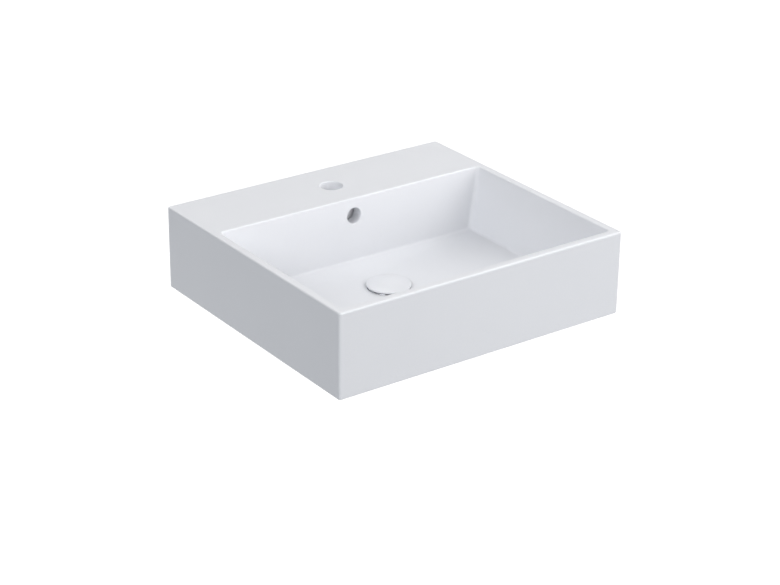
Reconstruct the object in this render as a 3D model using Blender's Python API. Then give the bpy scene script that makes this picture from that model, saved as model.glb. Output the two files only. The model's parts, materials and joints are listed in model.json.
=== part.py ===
"""Wall-hung rectangular washbasin with a push-open waste and its wall fixings.

Frame, in metres: +X to the right, -Y to the front, +Z up. The wall face is the plane y = 0, and the origin lies
on it, midway between the two fixing holes. Run it with blender --background --python part.py.
"""

from math import atan2, cos, pi, sin, tau

import bmesh
import bpy
from mathutils import Matrix, Vector

MM = 0.001
GAP = 0.3 * MM  # between pieces that touch on the real object

# Basin, outside. Drops are measured down from the rim's top.
BASIN_WIDTH = 500 * MM
BASIN_DEPTH = 455 * MM
BASIN_HEIGHT = 131 * MM
FIXING_DROP = 55 * MM
CORNER_RADIUS = 4.5 * MM
RIM_RADIUS = 3 * MM
FOOT_RADIUS = 1.5 * MM

# Bowl
SIDE_RIM = 13 * MM
FRONT_RIM = 14 * MM
DECK_DEPTH = 129 * MM
FLOOR_DROP = 102 * MM
SIDE_LEAN = 16 * MM
BACK_LEAN = 3 * MM
BOWL_CORNER_RADIUS = 7 * MM
FLOOR_FILLET = 4.5 * MM
LIP_RADIUS = 2.5 * MM

# Holes in the basin
TAP_HOLE_DIAMETER = 35 * MM
TAP_HOLE_SETBACK = 68 * MM
OVERFLOW_DIAMETER = 25 * MM
OVERFLOW_DROP = 28.7 * MM
HOLE_LIP = 1.5 * MM
DRAIN_SETBACK = 221 * MM
DRAIN_DROP = 111.5 * MM
DRAIN_FLAT_RADIUS = 38 * MM
DRAIN_RECESS_RADIUS = 34 * MM
DRAIN_RECESS_DEPTH = 4 * MM
DRAIN_RECESS_LIP = 1 * MM
DRAIN_BORE_RADIUS = 23 * MM

# Underside of the basin
BACK_WALL = 15 * MM
BAY_SIDE_WALL = 15 * MM
DECK_THICKNESS = 12 * MM
BOWL_BACK_SKIN = 11 * MM
FOOT_WIDTH = 24 * MM
FLOOR_SKIN = 10 * MM
BOSS_RADIUS = 43 * MM
BOSS_CLEARANCE = 0.5 * MM
DUCT_WIDTH = 40 * MM
DUCT_DEPTH = 12 * MM
DUCT_SKIN = 7 * MM
DUCT_INTO_SKIN = 1 * MM
DUCT_STEP = 0.5 * MM
DUCT_TOP_DROP = 15 * MM
DUCT_FLOOR_TOP_DROP = 119 * MM
DUCT_FLOOR_HEIGHT = 6 * MM

# Waste body. Heights are measured up from the floor around the waste.
FLANGE_RADIUS = 32 * MM
FLANGE_TOP = 0.2 * MM
FLANGE_THICKNESS = 2.4 * MM
FUNNEL_RADIUS = 27 * MM
THROAT_TOP = -4.5 * MM
THROAT_RADIUS = 18.8 * MM
TAIL_RADIUS = 20.95 * MM  # G 1 1/4 thread
TAIL_END = -78.5 * MM
WINDOW_TOP = -12.5 * MM
WINDOW_HEIGHT = 6 * MM
WINDOW_WIDTH = 14 * MM
WINDOW_COUNT = 4
LEDGE_RADIUS = 18 * MM
BRIDGE_TOP = -55 * MM
BRIDGE_HEIGHT = 7 * MM
BRIDGE_HUB_RADIUS = 9 * MM
BRIDGE_RIB = 3.2 * MM
BRIDGE_RIB_COUNT = 3
BRIDGE_RING = 2 * MM
GASKET_THICKNESS = 1.2 * MM
UNDER_GASKET_HEIGHT = 6 * MM
SLIP_WASHER_THICKNESS = 1.5 * MM
BACK_NUT_HEIGHT = 8 * MM
BACK_NUT_RADIUS = 31 * MM

# Cap and plug, at rest with the waste closed
CAP_RADIUS = 35.75 * MM
CAP_EDGE_HEIGHT = 2 * MM
CAP_EDGE_THICKNESS = 3.2 * MM
CAP_DOME_RISE = 3 * MM
CAP_RECESS_RADIUS = 23 * MM
CAP_RECESS_DEPTH = 1.7 * MM
CARRIER_PLATE_RADIUS = 22 * MM
CARRIER_PLATE_THICKNESS = 2 * MM
CARRIER_NECK_RADIUS = 13 * MM
CARRIER_SHOULDER_RADIUS = 17.5 * MM
CARRIER_LIP_RADIUS = 16.5 * MM
SEAL_TOP = -6.5 * MM
SEAL_HEIGHT = 2.7 * MM
SEAL_RADIUS = 18.5 * MM
STEM_RADIUS = 4 * MM
STEM_TOP = -1.3 * MM

# Latch cartridge, in the same heights
BUSH_TOP = -14.5 * MM
BUSH_FLANGE = 2 * MM
BUSH_SLEEVE = 3 * MM
HOUSING_RADIUS = 10 * MM
HOUSING_BORE = 8 * MM
HOUSING_END = -54.5 * MM
HOUSING_FLOOR = 2 * MM
SPIGOT_RADIUS = 5 * MM
SPIGOT_LENGTH = 9.5 * MM
CROWN_TOP = -28.5 * MM
CROWN_HEIGHT = 3 * MM
CROWN_RADIUS = 7.2 * MM
TOOTH_HEIGHT = 1.2 * MM
TOOTH_COUNT = 8
PIN_RADIUS = 3 * MM
ROTOR_RADIUS = 7.4 * MM
ROTOR_HEIGHT = 4.2 * MM
SPRING_RADIUS = 6.4 * MM
SPRING_WIRE_RADIUS = 0.5 * MM
SPRING_TURNS = 6

# Wall fixings. Distances are measured from the wall face towards the room.
FIXING_SPACING = 280 * MM
FIXING_HOLE_RADIUS = 11 * MM
STUD_RADIUS = 5 * MM
STUD_OUTER_END = 36 * MM
STUD_WALL_END = -68 * MM
STUD_POINT = 6 * MM
PLUG_RADIUS = 7 * MM
PLUG_BORE = 5.3 * MM
PLUG_LENGTH = 60 * MM
PLUG_MOUTH = -2 * MM
SLEEVE_RADIUS = 10.6 * MM
SLEEVE_BORE = 5.4 * MM
SLEEVE_START = 1.5 * MM
SLEEVE_FLANGE_RADIUS = 16 * MM
SLEEVE_FLANGE = 3 * MM
WASHER_RADIUS = 14 * MM
WASHER_THICKNESS = 2 * MM
NUT_ACROSS_FLATS = 17 * MM
NUT_HEIGHT = 8.4 * MM

# Fineness of round shapes
ROUND_STEPS = 40
SMALL_STEPS = 24
CORNER_STEPS = 4
SMOOTH_ANGLE = 0.6

RIM_TOP = FIXING_DROP
FOOT_BOTTOM = RIM_TOP - BASIN_HEIGHT
HALF_WIDTH = BASIN_WIDTH / 2


def below_rim(drop):
    """World height of a point this far under the rim's top."""
    return RIM_TOP - drop


# ---------------------------------------------------------------- helpers


def clear_scene():
    for thing in list(bpy.data.objects):
        bpy.data.objects.remove(thing)


def material(name, colour, roughness, metallic=0.0):
    made = bpy.data.materials.new(name)
    made.use_nodes = True
    shader = made.node_tree.nodes["Principled BSDF"]
    shader.inputs["Base Color"].default_value = (*colour, 1.0)
    shader.inputs["Roughness"].default_value = roughness
    shader.inputs["Metallic"].default_value = metallic
    made.diffuse_color = (*colour, 1.0)
    return made


def object_from(name, mesh_maker, finish=None, parent=None):
    """An object whose mesh is what mesh_maker leaves, closed and facing out."""
    bmesh.ops.remove_doubles(mesh_maker, verts=mesh_maker.verts, dist=1e-6)
    bmesh.ops.recalc_face_normals(mesh_maker, faces=mesh_maker.faces)
    mesh = bpy.data.meshes.new(name)
    mesh_maker.to_mesh(mesh)
    mesh_maker.free()
    made = bpy.data.objects.new(name, mesh)
    bpy.context.scene.collection.objects.link(made)
    if finish:
        mesh.materials.append(finish)
    if parent:
        made.parent = parent
    mesh.shade_smooth()
    mesh.set_sharp_from_angle(angle=SMOOTH_ANGLE)
    return made


def turned(name, profile, finish=None, parent=None, steps=ROUND_STEPS):
    """A piece turned on a lathe: profile is (radius, height) points, closed on itself or ending on the axis."""
    maker = bmesh.new()
    points = [maker.verts.new((radius, 0, height)) for radius, height in profile]
    on_axis = profile[0][0] == 0 and profile[-1][0] == 0
    edges = [maker.edges.new(pair) for pair in zip(points, points[1:])]
    if not on_axis:
        edges.append(maker.edges.new((points[-1], points[0])))
    bmesh.ops.spin(
        maker, geom=points + edges, cent=(0, 0, 0), axis=(0, 0, 1), angle=tau, steps=steps, use_merge=True
    )
    return object_from(name, maker, finish, parent)


def ring_profile(inner, outer, bottom, top, chamfer=0.0):
    """Outline of a plain ring, with its outer edges broken by a chamfer."""
    if not chamfer:
        return [(inner, bottom), (outer, bottom), (outer, top), (inner, top)]
    return [
        (inner, bottom),
        (outer - chamfer, bottom),
        (outer, bottom + chamfer),
        (outer, top - chamfer),
        (outer - chamfer, top),
        (inner, top),
    ]


def rounded_rectangle(x_half, y_front, y_back, radius, height, steps=CORNER_STEPS):
    """Points of a level rectangle with round corners, anticlockwise from the front right."""
    centres = [
        (x_half - radius, y_front + radius, -pi / 2),
        (x_half - radius, y_back - radius, 0),
        (-x_half + radius, y_back - radius, pi / 2),
        (-x_half + radius, y_front + radius, pi),
    ]
    points = []
    for x, y, start in centres:
        for step in range(steps + 1):
            angle = start + step / steps * pi / 2
            points.append(Vector((x + radius * cos(angle), y + radius * sin(angle), height)))
    return points


def circle_like(ring, centre_y, radius, height):
    """A circle on the drain's axis with one point for each point of ring, in the same order."""
    count = len(ring)
    corner = count / 4
    points = []
    for index in range(count):
        angle = -pi / 2 + (index + 0.5) / corner * pi / 2
        points.append(Vector((radius * cos(angle), centre_y + radius * sin(angle), height)))
    return points


def lofted(name, rings, finish=None, parent=None):
    """A closed body through rings of equal point counts, capped at both ends."""
    maker = bmesh.new()
    loops = [[maker.verts.new(point) for point in ring] for ring in rings]
    for lower, upper in zip(loops, loops[1:]):
        for index in range(len(lower)):
            after = (index + 1) % len(lower)
            maker.faces.new((lower[index], lower[after], upper[after], upper[index]))
    maker.faces.new(loops[0])
    maker.faces.new(loops[-1])
    return object_from(name, maker, finish, parent)


def block(name, low, high, parent=None):
    """A plain box between two corners."""
    maker = bmesh.new()
    bmesh.ops.create_cube(maker, size=1)
    middle = (Vector(low) + Vector(high)) / 2
    size = Vector(high) - Vector(low)
    bmesh.ops.transform(maker, matrix=Matrix.Translation(middle) @ Matrix.Diagonal((*size, 1)), verts=maker.verts)
    return object_from(name, maker, None, parent)


def prism(name, outline, bottom, top, finish=None, parent=None):
    """A level outline, as (x, y) points, raised from bottom to top."""
    rings = [[Vector((x, y, height)) for x, y in outline] for height in (bottom, top)]
    return lofted(name, rings, finish, parent)


def boolean(target, tool, operation="DIFFERENCE"):
    """Cuts target by tool, or joins tool to it. The tool itself stays out of the model."""
    tool.hide_render = True
    tool.display_type = "WIRE"
    change = target.modifiers.new(tool.name, "BOOLEAN")
    change.operation = operation
    change.object = tool


def empty(name, place, parent=None, turn=(0, 0, 0)):
    made = bpy.data.objects.new(name, None)
    made.location = place
    made.rotation_euler = turn
    made.parent = parent
    bpy.context.scene.collection.objects.link(made)
    return made


def arc(centre, radius, start, end, steps):
    """(radius, height) points of an arc about centre, from start to end in radians."""
    turns = [start + (end - start) * step / steps for step in range(steps + 1)]
    return [(centre[0] + radius * cos(turn), centre[1] + radius * sin(turn)) for turn in turns]


# ---------------------------------------------------------------- basin


def basin_outside(glaze):
    """The outer block: round upright corners, round rim edge, small foot radius."""
    rings = []

    def add(inset, height):
        radius = CORNER_RADIUS - inset * 0.8
        rings.append(rounded_rectangle(HALF_WIDTH - inset, inset - BASIN_DEPTH, -inset, radius, height))

    add(FOOT_RADIUS, FOOT_BOTTOM)
    add(FOOT_RADIUS * (1 - sin(pi / 4)), FOOT_BOTTOM + FOOT_RADIUS * (1 - cos(pi / 4)))
    add(0, FOOT_BOTTOM + FOOT_RADIUS)
    for step in range(4):
        turn = step / 3 * pi / 2
        add(RIM_RADIUS * (1 - cos(turn)), RIM_TOP - RIM_RADIUS * (1 - sin(turn)))
    return lofted("basin", rings, glaze)


def bowl_ring(drop, inset=0.0, corner=BOWL_CORNER_RADIUS):
    """The bowl's wall at this drop below the rim, drawn in by inset on every side."""
    fall = drop / FLOOR_DROP
    return rounded_rectangle(
        HALF_WIDTH - SIDE_RIM - SIDE_LEAN * fall - inset,
        -BASIN_DEPTH + FRONT_RIM + SIDE_LEAN * fall + inset,
        -DECK_DEPTH - BACK_LEAN * fall - inset,
        corner,
        below_rim(drop),
    )


def bowl_cutter():
    """The space inside the bowl, with a rounded lip above and a fillet round the floor below."""
    over = 5 * MM
    rings = [bowl_ring(-over, -LIP_RADIUS, BOWL_CORNER_RADIUS + LIP_RADIUS)]
    for step in range(4):
        turn = step / 3 * pi / 2
        flare = LIP_RADIUS * (1 - sin(turn))
        rings.append(bowl_ring(LIP_RADIUS * (1 - cos(turn)), -flare, BOWL_CORNER_RADIUS + flare))
    for step in range(4):
        turn = step / 3 * pi / 2
        inset = FLOOR_FILLET * (1 - cos(turn))
        drop = FLOOR_DROP - FLOOR_FILLET * (1 - sin(turn))
        rings.append(bowl_ring(drop, inset))
    rings.append(circle_like(rings[0], -DRAIN_SETBACK, DRAIN_FLAT_RADIUS, below_rim(DRAIN_DROP)))
    return lofted("bowl_space", rings)


def underside_cutter():
    """The shallow hollow under the bowl, inside the foot ring, 10 mm under the floor all over."""
    lean = 8 * MM
    under = 3 * MM

    def ring(drop, inset):
        return rounded_rectangle(
            HALF_WIDTH - FOOT_WIDTH - inset,
            -BASIN_DEPTH + FOOT_WIDTH + inset,
            -DECK_DEPTH + BOWL_BACK_SKIN * 0.5,
            BOWL_CORNER_RADIUS,
            below_rim(drop),
        )

    rings = [ring(BASIN_HEIGHT + under, 0), ring(BASIN_HEIGHT, 0), ring(FLOOR_DROP + FLOOR_SKIN, lean)]
    centre_drop = DRAIN_DROP + FLOOR_SKIN
    rings.append(circle_like(rings[0], -DRAIN_SETBACK, BOSS_RADIUS * 0.9, below_rim(centre_drop)))
    return lofted("underside_space", rings)


def bay_cutter():
    """The bay under the deck, open below, where the tap's tails and the fixings are reached."""
    return lofted(
        "bay_space",
        [
            rounded_rectangle(
                HALF_WIDTH - BAY_SIDE_WALL, -DECK_DEPTH + BOWL_BACK_SKIN, -BACK_WALL, BOWL_CORNER_RADIUS, height
            )
            for height in (below_rim(BASIN_HEIGHT + 4 * MM), below_rim(DECK_THICKNESS))
        ],
    )


def drain_boss():
    """The thick ring of ceramic round the outlet, where the under gasket seats."""
    top = below_rim(DRAIN_DROP + 5 * MM)
    bottom = FOOT_BOTTOM + BOSS_CLEARANCE
    rim = 2 * MM
    profile = [(0, bottom), (BOSS_RADIUS - rim, bottom), (BOSS_RADIUS, bottom + rim), (BOSS_RADIUS, top), (0, top)]
    boss = turned("drain_boss", profile)
    boss.location.y = -DRAIN_SETBACK
    return boss


def duct_casing():
    """Ceramic round the overflow channel: upright behind the bowl, then forward under the floor."""
    half = DUCT_WIDTH / 2 + DUCT_SKIN
    back = -DECK_DEPTH + BOWL_BACK_SKIN - DUCT_INTO_SKIN + DUCT_DEPTH + DUCT_SKIN
    bottom = FOOT_BOTTOM + BOSS_CLEARANCE + DUCT_STEP
    upright = block(
        "duct_upright",
        (-half, -DECK_DEPTH + BOWL_BACK_SKIN * 0.5, bottom + DUCT_STEP),
        (half, back, below_rim(DECK_THICKNESS / 2)),
    )
    forward = block(
        "duct_forward",
        (-half + DUCT_STEP, -DRAIN_SETBACK, bottom),
        (half - DUCT_STEP, -DECK_DEPTH + BOWL_BACK_SKIN * 0.75, below_rim(FLOOR_DROP + FLOOR_SKIN / 2)),
    )
    return upright, forward


def duct_cutters():
    """The overflow channel itself, a little narrower where it runs forward."""
    half = DUCT_WIDTH / 2
    front = -DECK_DEPTH + BOWL_BACK_SKIN - DUCT_INTO_SKIN
    floor_top = below_rim(DUCT_FLOOR_TOP_DROP)
    floor_bottom = floor_top - DUCT_FLOOR_HEIGHT
    inset = 2 * DUCT_STEP
    upright = block(
        "duct_upright_space", (-half, front, floor_bottom), (half, front + DUCT_DEPTH, below_rim(DUCT_TOP_DROP))
    )
    forward = block(
        "duct_forward_space",
        (-half + inset, -DRAIN_SETBACK, floor_bottom + inset / 4),
        (half - inset, front + DUCT_DEPTH - inset, floor_top),
    )
    return upright, forward


def lipped_hole(name, radius, lip, depth, steps):
    """A round cutter from height 0 down, whose mouth widens by a rounded lip."""
    over = 6 * MM
    mouth = arc((radius + lip, -lip), lip, pi, pi / 2, 3)
    profile = [(0, -depth), (radius, -depth), *mouth, (radius + lip, over), (0, over)]
    return turned(name, profile, steps=steps)


def tap_hole_cutter():
    hole = lipped_hole("tap_hole", TAP_HOLE_DIAMETER / 2, HOLE_LIP, DECK_THICKNESS + 4 * MM, ROUND_STEPS)
    hole.location = (0, -TAP_HOLE_SETBACK, RIM_TOP)
    return hole


def overflow_hole_cutter():
    """A level hole from the bowl's back wall into the channel."""
    hole = lipped_hole("overflow_hole", OVERFLOW_DIAMETER / 2, HOLE_LIP, BOWL_BACK_SKIN + 5 * MM, ROUND_STEPS)
    lean_there = BACK_LEAN * OVERFLOW_DROP / FLOOR_DROP
    hole.location = (0, -DECK_DEPTH - lean_there, below_rim(OVERFLOW_DROP))
    hole.rotation_euler.x = pi / 2 - atan2(BACK_LEAN, FLOOR_DROP)
    return hole


def drain_cutter():
    """The outlet: a recess for the flange and its gasket, then a bore through the boss."""
    above = 6 * MM
    below = DRAIN_DROP - BASIN_HEIGHT - 20 * MM
    profile = [
        (0, below),
        (DRAIN_BORE_RADIUS, below),
        (DRAIN_BORE_RADIUS, -DRAIN_RECESS_DEPTH),
        (DRAIN_RECESS_RADIUS, -DRAIN_RECESS_DEPTH),
        (DRAIN_RECESS_RADIUS, -DRAIN_RECESS_LIP),
        (DRAIN_RECESS_RADIUS + DRAIN_RECESS_LIP, 0),
        (DRAIN_RECESS_RADIUS + DRAIN_RECESS_LIP, above),
        (0, above),
    ]
    hole = turned("drain_hole", profile, steps=ROUND_STEPS)
    hole.location = (0, -DRAIN_SETBACK, below_rim(DRAIN_DROP))
    return hole


def fixing_hole_cutter(name, side):
    over = 5 * MM
    depth = BACK_WALL + over
    hole = turned(name, [(0, -over), (FIXING_HOLE_RADIUS, -over), (FIXING_HOLE_RADIUS, depth), (0, depth)])
    hole.location = (side * FIXING_SPACING / 2, 0, 0)
    hole.rotation_euler.x = pi / 2
    return hole


def make_basin(glaze):
    basin = basin_outside(glaze)
    boolean(basin, bay_cutter())
    boolean(basin, fixing_hole_cutter("left_fixing_hole", -1))
    boolean(basin, fixing_hole_cutter("right_fixing_hole", 1))
    boolean(basin, underside_cutter())
    boolean(basin, drain_boss(), "UNION")
    for casing in duct_casing():
        boolean(basin, casing, "UNION")
    boolean(basin, bowl_cutter())
    for channel in duct_cutters():
        boolean(basin, channel)
    boolean(basin, tap_hole_cutter())
    boolean(basin, overflow_hole_cutter())
    boolean(basin, drain_cutter())
    return basin


# ---------------------------------------------------------------- waste


def make_waste_body(chrome, drain):
    """Flange, funnel, throat and tail in one turning, with windows for the overflow and a ledge for the bridge."""
    flange_bottom = FLANGE_TOP - FLANGE_THICKNESS
    ledge_top = BRIDGE_TOP - BRIDGE_HEIGHT - GAP
    body = turned(
        "waste_body",
        [
            (FUNNEL_RADIUS, FLANGE_TOP),
            (THROAT_RADIUS, THROAT_TOP),
            (THROAT_RADIUS, ledge_top),
            (LEDGE_RADIUS, ledge_top),
            (LEDGE_RADIUS, TAIL_END),
            (TAIL_RADIUS, TAIL_END),
            (TAIL_RADIUS, flange_bottom),
            (FLANGE_RADIUS, flange_bottom),
            (FLANGE_RADIUS, FLANGE_TOP),
        ],
        chrome,
        drain,
        SMALL_STEPS,
    )
    reach = 3 * MM
    for index in range(WINDOW_COUNT):
        window = block(
            f"overflow_window_{index}",
            (THROAT_RADIUS - reach, -WINDOW_WIDTH / 2, WINDOW_TOP - WINDOW_HEIGHT),
            (TAIL_RADIUS + reach, WINDOW_WIDTH / 2, WINDOW_TOP),
            drain,
        )
        window.rotation_euler.z = tau * (index + 0.5) / WINDOW_COUNT
        boolean(body, window)


def make_bridge(plastic, drain):
    """The insert on the tail's ledge: a ring, ribs and a hub that the cartridge is pressed into."""
    bottom = BRIDGE_TOP - BRIDGE_HEIGHT
    outer = THROAT_RADIUS - GAP
    hub = ring_profile(SPIGOT_RADIUS + GAP, BRIDGE_HUB_RADIUS, bottom, BRIDGE_TOP)
    ring = ring_profile(outer - BRIDGE_RING, outer, bottom, BRIDGE_TOP)
    bridge = turned("cartridge_bridge", ring, plastic, drain)
    rib_inset = 0.5 * MM
    rib_start = (SPIGOT_RADIUS + BRIDGE_HUB_RADIUS) / 2
    rib_end = outer - BRIDGE_RING / 2
    for index in range(BRIDGE_RIB_COUNT):
        rib = block(
            f"bridge_rib_{index}",
            (rib_start, -BRIDGE_RIB / 2, bottom + rib_inset),
            (rib_end, BRIDGE_RIB / 2, BRIDGE_TOP - rib_inset),
            drain,
        )
        rib.rotation_euler.z = tau * index / BRIDGE_RIB_COUNT
        boolean(bridge, rib, "UNION")
    boolean(bridge, turned("bridge_hub", hub, None, drain, SMALL_STEPS), "UNION")


def make_clamping_pieces(rubber, nylon, brass, drain):
    """What seals the waste body to the basin and holds it there, from the flange down."""
    gasket_top = FLANGE_TOP - FLANGE_THICKNESS - GAP
    clear = TAIL_RADIUS + GAP
    turned(
        "flange_gasket",
        ring_profile(DRAIN_BORE_RADIUS + 1 * MM, FLANGE_RADIUS, gasket_top - GASKET_THICKNESS, gasket_top),
        rubber,
        drain,
    )
    boss_bottom = -(BASIN_HEIGHT - BOSS_CLEARANCE - DRAIN_DROP)
    top = boss_bottom - GAP
    bottom = top - UNDER_GASKET_HEIGHT
    turned(
        "under_gasket",
        [
            (clear, bottom),
            (BACK_NUT_RADIUS, bottom),
            (BACK_NUT_RADIUS + 2 * MM, bottom + 1.5 * MM),
            (BACK_NUT_RADIUS + 2 * MM, top - 2.5 * MM),
            (BACK_NUT_RADIUS - 3 * MM, top),
            (clear, top),
        ],
        rubber,
        drain,
    )
    top = bottom - GAP
    bottom = top - SLIP_WASHER_THICKNESS
    turned("slip_washer", ring_profile(clear, BACK_NUT_RADIUS + 1 * MM, bottom, top, 0.3 * MM), nylon, drain)
    top = bottom - GAP
    make_nut("back_nut", BACK_NUT_RADIUS, clear, top - BACK_NUT_HEIGHT, top, 8, brass, drain, ROUND_STEPS)


def make_nut(name, corner_radius, bore, bottom, top, sides, finish, parent, steps):
    """A nut with flat sides, its corners taken off by a cone at both faces."""
    outline = [
        (corner_radius * cos(tau * index / sides), corner_radius * sin(tau * index / sides))
        for index in range(sides)
    ]
    nut = prism(name, outline, bottom, top, finish, parent)
    flat_radius = corner_radius * cos(pi / sides)
    bevel = (corner_radius - flat_radius) * 0.6
    over = 2 * MM
    around = corner_radius + over
    chamfer = turned(
        name + "_chamfer",
        [
            (around, bottom - over),
            (around, top + over),
            (flat_radius - over * 1.2, top + over),
            (flat_radius, top),
            (corner_radius + 0.2 * MM, top - bevel),
            (corner_radius + 0.2 * MM, bottom + bevel),
            (flat_radius, bottom),
            (flat_radius - over * 1.2, bottom - over),
        ],
        None,
        parent,
        steps,
    )
    boolean(nut, chamfer)
    bore_profile = [(0, bottom - over), (bore, bottom - over), (bore, top + over), (0, top + over)]
    boolean(nut, turned(name + "_bore", bore_profile, None, parent, steps))
    return nut


# ---------------------------------------------------------------- cap, plug and latch


def make_cap(glaze, plug):
    """The low dome, with a round edge and a recess below for the carrier's plate."""
    bottom = CAP_EDGE_HEIGHT
    edge_round = CAP_EDGE_THICKNESS / 2
    shoulder_radius = CAP_RADIUS - edge_round
    shoulder_height = bottom + CAP_EDGE_THICKNESS
    sphere = (shoulder_radius**2 + CAP_DOME_RISE**2) / (2 * CAP_DOME_RISE)
    spread = atan2(shoulder_radius, sphere - CAP_DOME_RISE)
    centre = shoulder_height + CAP_DOME_RISE - sphere
    dome = arc((0, centre), sphere, pi / 2, pi / 2 - spread, 6)
    edge = arc((shoulder_radius, bottom + edge_round), edge_round, pi / 2, -pi / 2, 6)
    recess_top = bottom + CAP_RECESS_DEPTH
    profile = [(0, dome[0][1]), *dome[1:], *edge[1:], (CAP_RECESS_RADIUS, bottom), (CAP_RECESS_RADIUS, recess_top)]
    return turned("waste_cap", [*profile, (0, recess_top)], glaze, plug, ROUND_STEPS + 8)


def make_carrier(chrome, plug):
    """Plate under the cap, neck, and the groove that holds the seal. The stem's socket opens below."""
    plate_top = CAP_EDGE_HEIGHT + CAP_RECESS_DEPTH - GAP
    plate_bottom = plate_top - CARRIER_PLATE_THICKNESS
    shoulder_bottom = SEAL_TOP + GAP
    groove_bottom = SEAL_TOP - SEAL_HEIGHT - GAP
    lip_bottom = groove_bottom - 1.5 * MM
    socket = STEM_RADIUS + GAP
    return turned(
        "cap_carrier",
        [
            (0, plate_top),
            (CARRIER_PLATE_RADIUS, plate_top),
            (CARRIER_PLATE_RADIUS, plate_bottom),
            (CARRIER_NECK_RADIUS, plate_bottom),
            (CARRIER_NECK_RADIUS, shoulder_bottom + 2 * MM),
            (CARRIER_SHOULDER_RADIUS, shoulder_bottom + 1 * MM),
            (CARRIER_SHOULDER_RADIUS, shoulder_bottom),
            (CARRIER_NECK_RADIUS, shoulder_bottom),
            (CARRIER_NECK_RADIUS, groove_bottom),
            (CARRIER_LIP_RADIUS, groove_bottom),
            (CARRIER_LIP_RADIUS, lip_bottom),
            (socket, lip_bottom),
            (socket, STEM_TOP + GAP),
            (0, STEM_TOP + GAP),
        ],
        chrome,
        plug,
    )


def make_seal(rubber, plug):
    """The rubber ring in the carrier's groove, rounded where it meets the throat."""
    inner = CARRIER_NECK_RADIUS + GAP
    bulge = SEAL_HEIGHT / 2
    rounded = arc((SEAL_RADIUS - bulge, SEAL_TOP - bulge), bulge, -pi / 2, pi / 2, 4)
    return turned("plug_seal", [(inner, SEAL_TOP - SEAL_HEIGHT), *rounded, (inner, SEAL_TOP)], rubber, plug)


def toothed_ring(name, inner, outer, base, tip, parent):
    """Saw teeth round a ring: each rises from base to tip along its turn, then drops."""
    maker = bmesh.new()
    for index in range(TOOTH_COUNT):
        start = tau * index / TOOTH_COUNT
        end = start + tau / TOOTH_COUNT * 0.86
        root = base - (tip - base) * 0.5
        corners = [
            (radius * cos(angle), radius * sin(angle), height)
            for angle, height in ((start, root), (end, root), (end, tip), (start, base))
            for radius in (inner, outer)
        ]
        points = [maker.verts.new(corner) for corner in corners]
        for face in ((0, 1, 3, 2), (2, 3, 5, 4), (4, 5, 7, 6), (6, 7, 1, 0), (0, 2, 4, 6), (1, 7, 5, 3)):
            maker.faces.new([points[corner] for corner in face])
    return object_from(name, maker, None, parent)


def make_stem(steel, plug):
    """Stem with its toothed crown, and the pin below that the rotor turns on."""
    crown_bottom = CROWN_TOP - CROWN_HEIGHT
    rotor_bottom = crown_bottom - TOOTH_HEIGHT * 2 - GAP - ROTOR_HEIGHT
    point = 0.6 * MM
    stem = turned(
        "plunger_stem",
        [
            (0, STEM_TOP),
            (STEM_RADIUS - point, STEM_TOP),
            (STEM_RADIUS, STEM_TOP - point),
            (STEM_RADIUS, CROWN_TOP),
            (CROWN_RADIUS, CROWN_TOP),
            (CROWN_RADIUS, crown_bottom),
            (PIN_RADIUS, crown_bottom),
            (PIN_RADIUS, rotor_bottom),
            (0, rotor_bottom),
        ],
        steel,
        plug,
        SMALL_STEPS,
    )
    teeth = toothed_ring(
        "crown_teeth",
        PIN_RADIUS + 1.5 * MM,
        CROWN_RADIUS - 0.2 * MM,
        crown_bottom,
        crown_bottom - TOOTH_HEIGHT,
        plug,
    )
    boolean(stem, teeth, "UNION")
    return stem


def make_rotor(plastic, rotor_axis):
    """The ring under the crown, toothed above, that turns one step at each push. Gives the height of its foot."""
    teeth_tip = CROWN_TOP - CROWN_HEIGHT - TOOTH_HEIGHT - GAP
    top = teeth_tip - TOOTH_HEIGHT
    rotor = turned(
        "latch_rotor",
        ring_profile(PIN_RADIUS + GAP, ROTOR_RADIUS, top - ROTOR_HEIGHT, top, 0.3 * MM),
        plastic,
        rotor_axis,
        SMALL_STEPS,
    )
    inner = PIN_RADIUS + 1.5 * MM
    teeth = toothed_ring("rotor_teeth", inner, ROTOR_RADIUS - 0.5 * MM, top, teeth_tip, rotor_axis)
    boolean(rotor, teeth, "UNION")
    return top - ROTOR_HEIGHT


def make_spring(steel, drain, top):
    """A compression spring with one flat turn at each end, between the rotor and the housing's floor."""
    bottom = HOUSING_END + HOUSING_FLOOR
    low = bottom + GAP + SPRING_WIRE_RADIUS
    high = top - GAP - SPRING_WIRE_RADIUS
    turn_steps = 16
    wire_sides = 6
    flat_turns = 0.75
    turns = SPRING_TURNS + 2 * flat_turns
    count = int(turns * turn_steps)
    flat_rise = SPRING_WIRE_RADIUS * 2.1

    def height_at(turn):
        """Height of the wire's middle: closed turns at the ends, an even pitch between."""
        if turn <= flat_turns:
            return low + flat_rise * turn
        if turn >= turns - flat_turns:
            return high - flat_rise * (turns - turn)
        start = low + flat_rise * flat_turns
        end = high - flat_rise * flat_turns
        return start + (end - start) * (turn - flat_turns) / SPRING_TURNS

    rings = []
    for index in range(count + 1):
        turn = turns * index / count
        angle = tau * turn
        outward = Vector((cos(angle), sin(angle), 0))
        middle = outward * SPRING_RADIUS + Vector((0, 0, height_at(turn)))
        ring = []
        for side in range(wire_sides):
            around = tau * side / wire_sides
            offset = outward * cos(around) + Vector((0, 0, 1)) * sin(around)
            ring.append(middle + offset * SPRING_WIRE_RADIUS)
        rings.append(ring)
    return lofted("return_spring", rings, steel, drain)


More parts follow.
